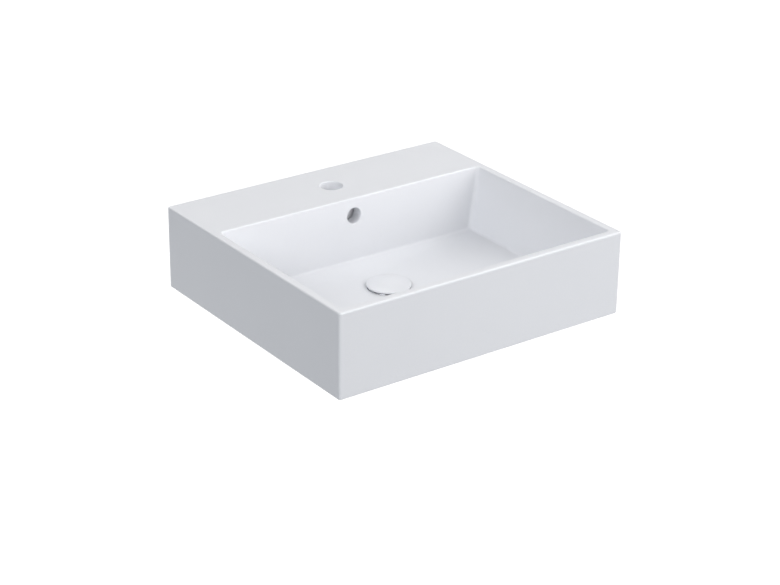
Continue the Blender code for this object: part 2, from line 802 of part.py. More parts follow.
def make_cartridge(plastic, drain):
    """Housing and guide bush of the latch."""
    housing_top = BUSH_TOP - BUSH_FLANGE - GAP
    spigot_end = HOUSING_END - SPIGOT_LENGTH
    edge = 0.8 * MM
    turned(
        "latch_housing",
        [
            (HOUSING_BORE, housing_top),
            (HOUSING_RADIUS, housing_top),
            (HOUSING_RADIUS, HOUSING_END + edge),
            (HOUSING_RADIUS - edge, HOUSING_END),
            (SPIGOT_RADIUS, HOUSING_END),
            (SPIGOT_RADIUS, spigot_end + edge),
            (SPIGOT_RADIUS - edge, spigot_end),
            (0, spigot_end),
            (0, HOUSING_END + HOUSING_FLOOR),
            (HOUSING_BORE, HOUSING_END + HOUSING_FLOOR),
        ][::-1],
        plastic,
        drain,
        SMALL_STEPS,
    )
    flange_bottom = BUSH_TOP - BUSH_FLANGE
    turned(
        "guide_bush",
        [
            (STEM_RADIUS + GAP, BUSH_TOP),
            (HOUSING_RADIUS, BUSH_TOP),
            (HOUSING_RADIUS, flange_bottom),
            (HOUSING_BORE - GAP, flange_bottom),
            (HOUSING_BORE - GAP, flange_bottom - BUSH_SLEEVE),
            (STEM_RADIUS + GAP, flange_bottom - BUSH_SLEEVE),
        ],
        plastic,
        drain,
        SMALL_STEPS,
    )


# ---------------------------------------------------------------- wall fixings


def make_fixing(side_name, side, steel, nylon):
    """One hanger bolt with its wall plug, sleeve, washer and nut. Heights run out of the wall."""
    axis = empty(f"{side_name}_fixing", (side * FIXING_SPACING / 2, 0, 0), turn=(pi / 2, 0, 0))
    chamfer = 1 * MM
    turned(
        f"{side_name}_stud",
        [
            (0, STUD_WALL_END),
            (STUD_RADIUS * 0.8, STUD_WALL_END + STUD_POINT),
            (STUD_RADIUS, STUD_WALL_END + 3 * STUD_POINT),
            (STUD_RADIUS, STUD_OUTER_END - chamfer),
            (STUD_RADIUS - chamfer, STUD_OUTER_END),
            (0, STUD_OUTER_END),
        ],
        steel,
        axis,
        SMALL_STEPS,
    )
    turned(
        f"{side_name}_wall_plug",
        ring_profile(PLUG_BORE, PLUG_RADIUS, PLUG_MOUTH - PLUG_LENGTH, PLUG_MOUTH, 0.8 * MM),
        nylon,
        axis,
        SMALL_STEPS,
    )
    flange_start = BACK_WALL + GAP
    flange_end = flange_start + SLEEVE_FLANGE
    turned(
        f"{side_name}_sleeve",
        [
            (SLEEVE_BORE, SLEEVE_START),
            (SLEEVE_RADIUS, SLEEVE_START),
            (SLEEVE_RADIUS, flange_start),
            (SLEEVE_FLANGE_RADIUS, flange_start),
            (SLEEVE_FLANGE_RADIUS, flange_end),
            (SLEEVE_BORE, flange_end),
        ],
        nylon,
        axis,
        SMALL_STEPS,
    )
    washer_start = flange_end + GAP
    washer_end = washer_start + WASHER_THICKNESS
    turned(
        f"{side_name}_washer",
        ring_profile(SLEEVE_BORE, WASHER_RADIUS, washer_start, washer_end, 0.3 * MM),
        steel,
        axis,
        SMALL_STEPS,
    )
    nut_start = washer_end + GAP
    corner = NUT_ACROSS_FLATS / 2 / cos(pi / 6)
    bore = STUD_RADIUS + GAP
    make_nut(f"{side_name}_nut", corner, bore, nut_start, nut_start + NUT_HEIGHT, 6, steel, axis, SMALL_STEPS)


# ---------------------------------------------------------------- the whole basin


def main():
    clear_scene()
    glaze = material("glazed_ceramic", (0.86, 0.87, 0.89), 0.12)
    chrome = material("chromed_brass", (0.75, 0.76, 0.78), 0.12, 1.0)
    brass = material("brass", (0.72, 0.55, 0.28), 0.3, 1.0)
    steel = material("zinc_steel", (0.62, 0.63, 0.65), 0.35, 1.0)
    rubber = material("black_rubber", (0.03, 0.03, 0.03), 0.7)
    nylon = material("grey_nylon", (0.55, 0.56, 0.58), 0.5)
    plastic = material("white_acetal", (0.82, 0.82, 0.8), 0.4)

    make_basin(glaze)
    drain = empty("drain_axis", (0, -DRAIN_SETBACK, below_rim(DRAIN_DROP)))
    make_waste_body(chrome, drain)
    make_clamping_pieces(rubber, nylon, brass, drain)
    make_bridge(plastic, drain)
    make_cartridge(plastic, drain)

    plug = empty("plug_axis", (0, 0, 0), drain)
    make_cap(glaze, plug)
    make_carrier(chrome, plug)
    make_seal(rubber, plug)
    make_stem(steel, plug)
    rotor_axis = empty("rotor_axis", (0, 0, 0), plug)
    rotor_foot = make_rotor(plastic, rotor_axis)
    make_spring(steel, drain, rotor_foot)

    make_fixing("left", -1, steel, nylon)
    make_fixing("right", 1, steel, nylon)


main()
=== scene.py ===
"""Looks of the wall-hung washbasin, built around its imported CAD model.

Metres, +Z up, -Y to the front. Three shapes follow the photo where the CAD model is plainer: the cap is 3 mm
smaller across, the deck is thicker round the tap hole, and the overflow hole has a neck behind it.
"""

import json
from math import atan2, cos, pi, radians, sin, tau

import bmesh
import bpy
from mathutils import Matrix, Vector


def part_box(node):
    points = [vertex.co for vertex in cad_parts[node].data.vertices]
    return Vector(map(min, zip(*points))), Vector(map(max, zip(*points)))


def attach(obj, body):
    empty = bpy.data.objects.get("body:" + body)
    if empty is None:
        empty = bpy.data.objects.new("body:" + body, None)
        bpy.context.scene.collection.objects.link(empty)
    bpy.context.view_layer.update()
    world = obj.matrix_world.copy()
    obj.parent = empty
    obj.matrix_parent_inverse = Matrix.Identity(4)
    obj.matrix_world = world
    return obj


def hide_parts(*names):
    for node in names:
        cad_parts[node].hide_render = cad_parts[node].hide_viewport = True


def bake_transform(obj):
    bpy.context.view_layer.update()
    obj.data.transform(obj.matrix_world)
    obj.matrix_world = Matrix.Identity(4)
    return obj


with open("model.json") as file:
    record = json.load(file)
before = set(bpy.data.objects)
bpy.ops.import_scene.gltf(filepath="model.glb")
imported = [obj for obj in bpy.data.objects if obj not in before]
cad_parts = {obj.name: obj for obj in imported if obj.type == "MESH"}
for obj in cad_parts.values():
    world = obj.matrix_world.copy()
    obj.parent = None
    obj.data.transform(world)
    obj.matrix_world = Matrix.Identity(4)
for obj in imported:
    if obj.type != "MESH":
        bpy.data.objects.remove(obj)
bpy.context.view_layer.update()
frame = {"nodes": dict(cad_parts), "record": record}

MM = 0.001
BASIN_LOW, BASIN_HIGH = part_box("basin")
CAP_LOW, CAP_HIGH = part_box("waste_cap")

# Basin, outside. Drops are measured down from the rim's top.
HALF_WIDTH = BASIN_HIGH.x
DEPTH = -BASIN_LOW.y
RIM_TOP = BASIN_HIGH.z
FOOT_BOTTOM = BASIN_LOW.z
HEIGHT = RIM_TOP - FOOT_BOTTOM
CORNER_RADIUS = 4.5 * MM
RIM_RADIUS = 3 * MM
FOOT_RADIUS = 2.5 * MM

# Bowl
SIDE_RIM = 13 * MM
FRONT_RIM = 14 * MM
DECK_DEPTH = 129 * MM
FLOOR_DROP = 102 * MM
SIDE_LEAN = 16 * MM
BACK_LEAN = 3 * MM
BOWL_CORNER_RADIUS = 7 * MM
FLOOR_FILLET = 4 * MM
LIP_RADIUS = 2.5 * MM

# Holes
TAP_HOLE_RADIUS = 17.5 * MM
TAP_HOLE_SETBACK = 68 * MM
OVERFLOW_RADIUS = 12.5 * MM
OVERFLOW_DROP = 28.7 * MM
HOLE_LIP = 1.5 * MM
DRAIN_Y = (CAP_LOW.y + CAP_HIGH.y) / 2
DRAIN_DROP = 111.5 * MM
DRAIN_FLAT_RADIUS = 38 * MM
DRAIN_RECESS_RADIUS = 32.8 * MM
DRAIN_RECESS_DEPTH = 4 * MM
DRAIN_BORE_RADIUS = 23 * MM
FIXING_X = 140 * MM
FIXING_HOLE_RADIUS = 11 * MM

# Underside
BACK_WALL = 15 * MM
BAY_SIDE_WALL = 15 * MM
DECK_THICKNESS = 12 * MM
TAP_BOSS_THICKNESS = 17 * MM
TAP_BOSS_RADIUS = 25 * MM
BOWL_BACK_SKIN = 11 * MM
FOOT_WIDTH = 24 * MM
FLOOR_SKIN = 10 * MM
BOSS_RADIUS = 43 * MM
BOSS_CLEARANCE = 0.5 * MM
DUCT_WIDTH = 40 * MM
DUCT_DEPTH = 12 * MM
DUCT_SKIN = 7 * MM
DUCT_FRONT = -DECK_DEPTH + BOWL_BACK_SKIN - 1 * MM
NECK_RADIUS = 15 * MM
NECK_LENGTH = 8.5 * MM
DUCT_TOP_DROP = 15 * MM
DUCT_FLOOR_TOP_DROP = 119 * MM
DUCT_FLOOR_HEIGHT = 6 * MM

# Waste
WASTE_FLOOR = RIM_TOP - DRAIN_DROP
FLANGE_RADIUS = 32 * MM
THROAT_RADIUS = 18.8 * MM
LEDGE_RADIUS = 18 * MM
TAIL_RADIUS = 20.95 * MM
TAIL_ROOT_RADIUS = 19.8 * MM
TAIL_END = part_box("waste_body")[0].z
PIPE_PITCH = 2.309 * MM
WINDOW_COUNT = 4
THREAD_GAP = 0.3 * MM

# M10 wall fixings
M10_RADIUS = 5 * MM
M10_PITCH = 1.5 * MM

# Cap, with the gap between its edge and the floor
CAP_RADIUS = 34.25 * MM
CAP_EDGE_THICKNESS = 2.8 * MM
CAP_GAP = 1.8 * MM

# Camera
CAMERA_LENS = 97.29
SENSOR_WIDTH = 36.0
CAMERA_AIM = Vector((0.0611, -0.1399, -0.1136))
CAMERA_DISTANCE = 3.2747
CAMERA_AZIMUTH = radians(-35.93)
CAMERA_ELEVATION = radians(24.67)
CAMERA_ROLL = radians(0.70)

# Light
POOL_RADIANCE = 1.04
FLOOR_RADIANCE = 0.2
FLOOR_TINT = (0.92, 1.0, 1.12)
WORLD_RADIANCE = 0.1
LAMP_AIM = (0, -0.2, 0)


def below_rim(drop):
    """World height of a point this far under the rim's top."""
    return RIM_TOP - drop


# ---------------------------------------------------------------- mesh helpers


def object_from(name, maker):
    """An object whose mesh is what the bmesh maker leaves, closed and facing out."""
    bmesh.ops.remove_doubles(maker, verts=maker.verts, dist=1e-6)
    bmesh.ops.recalc_face_normals(maker, faces=maker.faces)
    mesh = bpy.data.meshes.new(name)
    maker.to_mesh(mesh)
    maker.free()
    made = bpy.data.objects.new(name, mesh)
    bpy.context.scene.collection.objects.link(made)
    return made


def turned(name, profile, steps=96):
    """A lathe piece from (radius, height) points, closed on itself or ending on the axis."""
    maker = bmesh.new()
    points = [maker.verts.new((radius, 0, height)) for radius, height in profile]
    edges = [maker.edges.new(pair) for pair in zip(points, points[1:])]
    if profile[0][0] or profile[-1][0]:
        edges.append(maker.edges.new((points[-1], points[0])))
    bmesh.ops.spin(
        maker, geom=points + edges, cent=(0, 0, 0), axis=(0, 0, 1), angle=tau, steps=steps, use_merge=True
    )
    return object_from(name, maker)


def rounded_rectangle(x_half, y_front, y_back, radius, height, corner=10, side=1):
    """Points of a level rectangle with round corners, anticlockwise from the front right."""
    centres = [
        (x_half - radius, y_front + radius, -pi / 2),
        (x_half - radius, y_back - radius, 0),
        (-x_half + radius, y_back - radius, pi / 2),
        (-x_half + radius, y_front + radius, pi),
    ]
    arcs = []
    for x, y, start in centres:
        turns = [start + step / corner * pi / 2 for step in range(corner + 1)]
        arcs.append([Vector((x + radius * cos(turn), y + radius * sin(turn), height)) for turn in turns])
    points = []
    for index, here in enumerate(arcs):
        following = arcs[(index + 1) % 4][0]
        points += here
        points += [here[-1].lerp(following, step / side) for step in range(1, side)]
    return points


def lofted(name, rings):
    """A closed body through rings of equal point counts, capped at both ends."""
    maker = bmesh.new()
    loops = [[maker.verts.new(point) for point in ring] for ring in rings]
    for lower, upper in zip(loops, loops[1:]):
        for index in range(len(lower)):
            after = (index + 1) % len(lower)
            maker.faces.new((lower[index], lower[after], upper[after], upper[index]))
    maker.faces.new(loops[0])
    maker.faces.new(loops[-1])
    return object_from(name, maker)


def block(name, low, high):
    """A plain box between two corners, for cutting and joining."""
    maker = bmesh.new()
    bmesh.ops.create_cube(maker, size=1)
    middle = (Vector(low) + Vector(high)) / 2
    size = Vector(high) - Vector(low)
    placing = Matrix.Translation(middle) @ Matrix.Diagonal((*size, 1))
    bmesh.ops.transform(maker, matrix=placing, verts=maker.verts)
    return object_from(name, maker)


def combine(target, tool, operation="DIFFERENCE"):
    """Applies one Boolean at once and throws the tool away."""
    change = target.modifiers.new("combine", "BOOLEAN")
    change.operation = operation
    change.object = tool
    bpy.context.view_layer.update()
    evaluated = target.evaluated_get(bpy.context.evaluated_depsgraph_get())
    result = bpy.data.meshes.new_from_object(evaluated)
    target.modifiers.remove(change)
    target.data = result
    bpy.data.objects.remove(tool)


def arc(centre, radius, start, end, steps):
    """(radius, height) points of an arc about centre, from start to end in radians."""
    turns = [start + (end - start) * step / steps for step in range(steps + 1)]
    return [(centre[0] + radius * cos(turn), centre[1] + radius * sin(turn)) for turn in turns]


def polar(name, rows, steps=96):
    """A ring-shaped body from (radius, height) rows, the last joined to the first.

    A radius is a number, or a function of the angle.
    """
    maker = bmesh.new()
    loops = []
    for radius, height in rows:
        loop = []
        for step in range(steps):
            turn = tau * step / steps
            out = radius(turn) if callable(radius) else radius
            loop.append(maker.verts.new((out * cos(turn), out * sin(turn), height)))
        loops.append(loop)
    for lower, upper in zip(loops, [*loops[1:], loops[0]]):
        for index in range(steps):
            after = (index + 1) % steps
            maker.faces.new((lower[index], lower[after], upper[after], upper[index]))
    return object_from(name, maker)


def threaded(outer, root, pitch, start, end, rows_per_turn=6):
    """Rows of a right-hand screw thread for polar(), from start up to end, fading out in the end turns."""
    steepness = 1.6  # over 1, so that the crest is flat
    count = max(2, int(abs(end - start) / pitch * rows_per_turn))

    def radius_at(height):
        fade = min(1.0, abs(height - start) / pitch, abs(end - height) / pitch)

        def radius(turn):
            phase = (height / pitch - turn / tau) % 1.0
            flank = min(1.0, steepness * (1 - abs(2 * phase - 1)))
            return root + (outer - root) * flank * fade

        return radius

    heights = [start + (end - start) * step / count for step in range(count + 1)]
    return [(radius_at(height), height) for height in heights]


def many_sided(across_flats, sides, limit):
    """Radius by angle of a regular outline, cut off at a limiting radius where the chamfer is."""

    def radius(turn):
        off_flat = (turn % (tau / sides)) - pi / sides
        return min(across_flats / 2 / cos(off_flat), limit)

    return radius


def smooth(piece):
    """Smooth shading with true creases kept; weighted normals keep the big faces flat."""
    crease_angle = 0.5
    piece.data.shade_smooth()
    piece.data.set_sharp_from_angle(angle=crease_angle)
    change = piece.modifiers.new("weighted", "WEIGHTED_NORMAL")
    change.keep_sharp = True
    change.weight = 100


def soften(piece, width):
    """A fine rounding of a piece's sharp edges."""
    change = piece.modifiers.new("edge_rounding", "BEVEL")
    change.width = width
    change.segments = 2
    change.limit_method = "ANGLE"
    change.angle_limit = radians(35)
    change.harden_normals = True


def settle(piece, finish, body, node, turn_out=None, offset=(0, 0, 0)):
    """Puts a finished piece in its place and lets it stand for its CAD node."""
    if turn_out:
        piece.data.transform(Matrix.Rotation(turn_out, 4, "X"))
    piece.data.transform(Matrix.Translation(offset))
    piece.data.materials.clear()
    piece.data.materials.append(finish)
    smooth(piece)
    if body:
        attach(piece, body)
    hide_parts(node)


# ---------------------------------------------------------------- basin


def basin_outside():
    """The outer block: round upright corners, round rim edge, small foot radius."""
    corner_shrink = 0.8
    rings = []

    def add(inset, height):
        radius = CORNER_RADIUS - inset * corner_shrink
        rings.append(rounded_rectangle(HALF_WIDTH - inset, inset - DEPTH, -inset, radius, height))

    foot_steps = 4
    for step in range(foot_steps + 1):
        turn = step / foot_steps * pi / 2
        add(FOOT_RADIUS * (1 - sin(turn)), FOOT_BOTTOM + FOOT_RADIUS * (1 - cos(turn)))
    rim_steps = 8
    for step in range(rim_steps + 1):
        turn = step / rim_steps * pi / 2
        add(RIM_RADIUS * (1 - cos(turn)), RIM_TOP - RIM_RADIUS * (1 - sin(turn)))
    return lofted("basin_glazed", rings)


def bowl_cutter():
    """The space inside the bowl: rounded lip, leaning walls, floor fillet, floor falling to the waste."""
    corner, side = 10, 8
    over = 5 * MM
    fillet_sweep = radians(84)

    def ring(drop, inset=0.0, radius=BOWL_CORNER_RADIUS):
        fall = drop / FLOOR_DROP
        return rounded_rectangle(
            HALF_WIDTH - SIDE_RIM - SIDE_LEAN * fall - inset,
            -DEPTH + FRONT_RIM + SIDE_LEAN * fall + inset,
            -DECK_DEPTH - BACK_LEAN * fall - inset,
            radius,
            below_rim(drop),
            corner,
            side,
        )

    rings = [ring(-over, -LIP_RADIUS, BOWL_CORNER_RADIUS + LIP_RADIUS)]
    lip_steps = 7
    for step in range(lip_steps + 1):
        turn = step / lip_steps * pi / 2
        flare = LIP_RADIUS * (1 - sin(turn))
        rings.append(ring(LIP_RADIUS * (1 - cos(turn)), -flare, BOWL_CORNER_RADIUS + flare))
    fillet_steps = 7
    for step in range(fillet_steps + 1):
        turn = step / fillet_steps * fillet_sweep
        inset = FLOOR_FILLET * (1 - cos(turn))
        rings.append(ring(FLOOR_DROP - FLOOR_FILLET * (1 - sin(turn)), inset))
    rings += floor_rings(rings[-1], corner, side)
    return lofted("bowl_space", rings)


def floor_rings(edge, corner, side):
    """Rings from the fillet to the flat round the waste: rectangles that melt into a circle."""
    x_edge = max(point.x for point in edge)
    front = min(point.y for point in edge)
    back = max(point.y for point in edge)
    edge_drop = RIM_TOP - edge[0].z
    floor_steps = 14
    melt = 110 * MM
    hollow = 0.10
    rings = []
    for step in range(1, floor_steps + 1):
        inward = step / floor_steps
        out = 1 - inward
        radius = BOWL_CORNER_RADIUS * out + DRAIN_FLAT_RADIUS * inward + melt * inward * out
        half = x_edge * out + DRAIN_FLAT_RADIUS * inward
        low = front * out + (DRAIN_Y - DRAIN_FLAT_RADIUS) * inward
        high = back * out + (DRAIN_Y + DRAIN_FLAT_RADIUS) * inward
        radius = min(radius, half, (high - low) / 2)
        fall = inward + hollow * sin(pi * inward) * out
        drop = edge_drop + (DRAIN_DROP - edge_drop) * fall
        rings.append(rounded_rectangle(half, low, high, radius, below_rim(drop), corner, side))
    return rings


def underside_cutter():
    """The shallow hollow under the bowl, inside the foot ring."""
    lean = 8 * MM
    under = 3 * MM
    mouth = 1.5 * MM
    ceiling = FLOOR_DROP + FLOOR_SKIN
    edge_drop = 2 * MM
    edge_inset = 3 * MM
    share_of_boss = 0.9

    def ring(drop, inset):
        x_half = HALF_WIDTH - FOOT_WIDTH - inset
        front = -DEPTH + FOOT_WIDTH + inset
        back = -DECK_DEPTH + BOWL_BACK_SKIN * 0.5
        return rounded_rectangle(x_half, front, back, BOWL_CORNER_RADIUS, below_rim(drop), 8)

    rings = [ring(HEIGHT + under, -mouth), ring(HEIGHT, -mouth), ring(HEIGHT - mouth, 0)]
    rings += [ring(ceiling + edge_drop, lean), ring(ceiling, lean + edge_inset)]
    ends = []
    for point in rings[0]:
        away = Vector((point.x, point.y - DRAIN_Y, 0)).normalized() * BOSS_RADIUS * share_of_boss
        ends.append(Vector((away.x, away.y + DRAIN_Y, below_rim(DRAIN_DROP + FLOOR_SKIN))))
    return lofted("underside_space", [*rings, ends])


def bay_cutter():
    """The bay under the deck, open below, with a rounded ceiling and a softened mouth."""
    under = 4 * MM
    mouth = 1.5 * MM
    ceiling = 4 * MM

    def ring(height, inset):
        x_half = HALF_WIDTH - BAY_SIDE_WALL - inset
        front = -DECK_DEPTH + BOWL_BACK_SKIN + inset
        back = -BACK_WALL - inset
        return rounded_rectangle(x_half, front, back, BOWL_CORNER_RADIUS - inset, height, 8)

    rings = [ring(FOOT_BOTTOM - under, -mouth), ring(FOOT_BOTTOM, -mouth), ring(FOOT_BOTTOM + mouth, 0)]
    steps = 4
    for step in range(steps + 1):
        turn = step / steps * pi / 2
        height = below_rim(DECK_THICKNESS) - ceiling * (1 - sin(turn))
        rings.append(ring(height, ceiling * (1 - cos(turn))))
    return lofted("bay_space", rings)


def drain_boss():
    """The thick ring of ceramic round the outlet, where the under gasket seats."""
    buried = 5 * MM
    rim = 2 * MM
    top = below_rim(DRAIN_DROP + buried)
    bottom = FOOT_BOTTOM + BOSS_CLEARANCE
    edge = arc((BOSS_RADIUS - rim, bottom + rim), rim, -pi / 2, 0, 5)
    boss = turned("drain_boss", [(0, bottom), *edge, (BOSS_RADIUS, top), (0, top)])
    boss.location.y = DRAIN_Y
    return boss


def duct_casing():
    """Ceramic round the overflow channel: upright behind the bowl, then forward under the floor."""
    half = DUCT_WIDTH / 2 + DUCT_SKIN
    front = -DECK_DEPTH + BOWL_BACK_SKIN / 2
    back = DUCT_FRONT + DUCT_DEPTH + DUCT_SKIN
    bottom = FOOT_BOTTOM + BOSS_CLEARANCE
    step = 0.5 * MM
    rounding = 5 * MM
    ends = (bottom + 2 * step, below_rim(DECK_THICKNESS / 2))
    upright = [rounded_rectangle(half, front, back, rounding, height, 6) for height in ends]
    forward = []
    forward_back = -DECK_DEPTH + BOWL_BACK_SKIN * 0.75
    ceiling = below_rim(FLOOR_DROP + FLOOR_SKIN / 2)
    for inset, height in ((2 * step, bottom + step), (0, bottom + 3 * step), (0, ceiling)):
        forward.append(rounded_rectangle(half - step - inset, DRAIN_Y, forward_back, rounding, height, 6))
    return lofted("duct_upright", upright), lofted("duct_forward", forward)


def duct_cutters():
    """The overflow channel itself, with a neck of ceramic left round the overflow hole."""
    half = DUCT_WIDTH / 2
    back = DUCT_FRONT + DUCT_DEPTH
    floor_top = below_rim(DUCT_FLOOR_TOP_DROP)
    floor_bottom = floor_top - DUCT_FLOOR_HEIGHT
    inset = 1 * MM
    over = 1 * MM
    upright_top = below_rim(DUCT_TOP_DROP)
    upright = block("duct_upright_space", (-half, DUCT_FRONT, floor_bottom), (half, back, upright_top))
    neck_profile = [(0, -NECK_LENGTH), (NECK_RADIUS, -NECK_LENGTH), (NECK_RADIUS, over), (0, over)]
    neck = turned("overflow_neck", neck_profile)
    neck.rotation_euler.x = pi / 2
    neck.location = (0, DUCT_FRONT, below_rim(OVERFLOW_DROP))
    combine(upright, neck)
    forward_low = (-half + inset, DRAIN_Y, floor_bottom + inset / 4)
    forward_high = (half - inset, back - inset, floor_top)
    return upright, block("duct_forward_space", forward_low, forward_high)


def lipped_hole(name, radius, lip, depth):
    """A round cutter from height 0 down, whose mouth widens by a rounded lip."""
    over = 6 * MM
    mouth = arc((radius + lip, -lip), lip, pi, pi / 2, 6)
    return turned(name, [(0, -depth), (radius, -depth), *mouth, (radius + lip, over), (0, over)], 72)


def tap_boss():
    """Thicker ceramic round the tap hole, under the deck."""
    bottom = -TAP_BOSS_THICKNESS
    rounding = 3 * MM
    slight_turn = 0.02  # radians; keeps its edges off the hole's, as the Boolean needs
    edge = arc((TAP_BOSS_RADIUS - rounding, bottom + rounding), rounding, -pi / 2, 0, 5)
    boss = turned("tap_boss", [(0, bottom), *edge, (TAP_BOSS_RADIUS, bottom / 2), (0, bottom / 2)])
    boss.location = (0, -TAP_HOLE_SETBACK, RIM_TOP)
    boss.rotation_euler.z = slight_turn
    return boss


def tap_hole_cutter():
    """The hole through the deck and its boss."""
    under = 4 * MM
    tap = lipped_hole("tap_hole", TAP_HOLE_RADIUS, HOLE_LIP, TAP_BOSS_THICKNESS + under)
    tap.location = (0, -TAP_HOLE_SETBACK, RIM_TOP)
    return tap


def overflow_hole_cutter():
    """A level hole from the bowl's back wall into the channel."""
    past_neck = 1 * MM
    depth = BOWL_BACK_SKIN + NECK_LENGTH + past_neck
    overflow = lipped_hole("overflow_hole", OVERFLOW_RADIUS, HOLE_LIP, depth)
    lean_there = BACK_LEAN * OVERFLOW_DROP / FLOOR_DROP
    overflow.location = (0, -DECK_DEPTH - lean_there, below_rim(OVERFLOW_DROP))
    overflow.rotation_euler.x = pi / 2 - atan2(BACK_LEAN, FLOOR_DROP)
    return overflow


def drain_cutter():
    """The outlet: a recess for the flange and its gasket, then a bore through the boss."""
    deep = 40 * MM
    over = 6 * MM
    lip = 1 * MM
    drain = turned(
        "drain_hole",
        [
            (0, -deep),
            (DRAIN_BORE_RADIUS, -deep),
            (DRAIN_BORE_RADIUS, -DRAIN_RECESS_DEPTH),
            (DRAIN_RECESS_RADIUS, -DRAIN_RECESS_DEPTH),
            *arc((DRAIN_RECESS_RADIUS + lip, -lip), lip, pi, pi / 2, 5),
            (DRAIN_RECESS_RADIUS + lip, over),
            (0, over),
        ],
    )
    drain.location = (0, DRAIN_Y, below_rim(DRAIN_DROP))
    return drain


def fixing_hole_cutter(side):
    """One of the two holes in the back wall for the studs."""
    over = 5 * MM
    through = BACK_WALL + over
    profile = [(0, -over), (FIXING_HOLE_RADIUS, -over), (FIXING_HOLE_RADIUS, through), (0, through)]
    hole = turned("fixing_hole", profile, 48)
    hole.location = (side * FIXING_X, 0, 0)
    hole.rotation_euler.x = pi / 2
    return hole


def make_basin(glaze):
    """The casting: the outer block, hollowed below, thickened where it has to be, then cut from above."""
    basin = basin_outside()
    for cutter in (bay_cutter(), fixing_hole_cutter(-1), fixing_hole_cutter(1), underside_cutter()):
        combine(basin, cutter)
    for addition in (tap_boss(), drain_boss(), *duct_casing()):
        combine(basin, addition, "UNION")
    holes = (overflow_hole_cutter(), tap_hole_cutter(), drain_cutter())
    for cutter in (bowl_cutter(), *duct_cutters(), *holes):
        combine(basin, cutter)
    settle(basin, glaze, "basin_body", "basin")


# ---------------------------------------------------------------- waste cap


def make_cap(glaze):
    """The low dome with a round edge, hollowed below for the carrier's plate."""
    recess_radius = 23 * MM
    recess_depth = 1.7 * MM
    bottom = WASTE_FLOOR + CAP_GAP
    top = CAP_HIGH.z
    edge = CAP_EDGE_THICKNESS / 2
    shoulder = CAP_RADIUS - edge
    rise = top - bottom - 2 * edge
    sphere = (shoulder**2 + rise**2) / (2 * rise)
    spread = atan2(shoulder, sphere - rise)
    dome = arc((0, top - sphere), sphere, pi / 2, pi / 2 - spread, 20)
    side = arc((shoulder, bottom + edge), edge, pi / 2, -pi / 2, 12)
    ceiling = bottom + recess_depth
    recess = [(recess_radius, bottom), (recess_radius, ceiling), (0, ceiling)]
    cap = turned("cap_glazed", [(0, top), *dome[1:], *side[1:], *recess], 128)
    settle(cap, glaze, "plug", "waste_cap", offset=(0, DRAIN_Y, 0))


# ---------------------------------------------------------------- waste


def window_cutter(index):
    """One overflow window through the tail's wall, round at its corners."""
    half_width = 7 * MM
    half_height = 3 * MM
    corner = 2 * MM
    over = 3 * MM
    drop = 15.5 * MM
    outline = rounded_rectangle(half_width, -half_height, half_height, corner, 0, 5)
    inner = [Vector((point.x, point.y, THROAT_RADIUS - over)) for point in outline]
    outer = [Vector((point.x, point.y, TAIL_RADIUS + over)) for point in outline]
    cutter = lofted("window", [inner, outer])
    cutter.data.transform(Matrix.Rotation(pi / 2, 4, "X"))
    cutter.data.transform(Matrix.Translation((0, 0, WASTE_FLOOR - drop)))
    cutter.data.transform(Matrix.Rotation(tau * (index + 0.5) / WINDOW_COUNT + pi / 2, 4, "Z"))
    return cutter


def make_waste_body(chrome):
    """Dished flange, throat and tail, with overflow windows in a plain collar and a pipe thread below."""
    flange_top = WASTE_FLOOR + 0.2 * MM
    flange_bottom = WASTE_FLOOR - 2.2 * MM
    edge = 0.9 * MM
    dish_radius = 27 * MM
    dish_edge = 2.5 * MM
    dish_dip = 0.5 * MM
    throat_top = WASTE_FLOOR - 4.5 * MM
    throat_mouth = 1 * MM
    throat_mouth_depth = 1.2 * MM
    ledge = WASTE_FLOOR - 62.3 * MM
    thread_top = WASTE_FLOOR - 21 * MM
    thread_end = TAIL_END + 1 * MM
    end_chamfer = 0.6 * MM
    collar_step = 0.5 * MM
    collar_radius = TAIL_RADIUS - 0.05 * MM
    rows = [(dish_radius, flange_top), (dish_radius - dish_edge, flange_top - dish_dip)]
    rows += [(THROAT_RADIUS + throat_mouth, throat_top + throat_mouth_depth), (THROAT_RADIUS, throat_top)]
    rows += [(THROAT_RADIUS, ledge), (LEDGE_RADIUS, ledge), (LEDGE_RADIUS, TAIL_END)]
    rows += [(TAIL_ROOT_RADIUS - end_chamfer, TAIL_END), (TAIL_ROOT_RADIUS, thread_end)]
    rows += threaded(TAIL_RADIUS, TAIL_ROOT_RADIUS, PIPE_PITCH, thread_end, thread_top)
    rows += [(TAIL_ROOT_RADIUS, thread_top), (collar_radius, thread_top + collar_step)]
    rows += [(collar_radius, flange_bottom)]
    rows += arc((FLANGE_RADIUS - edge, flange_bottom + edge), edge, -pi / 2, 0, 4)
    rows += arc((FLANGE_RADIUS - edge, flange_top - edge), edge, 0, pi / 2, 4)
    body = polar("waste_fitting", rows)
    for index in range(WINDOW_COUNT):
        combine(body, window_cutter(index))
    settle(body, chrome, "basin_body", "waste_body", offset=(0, DRAIN_Y, 0))


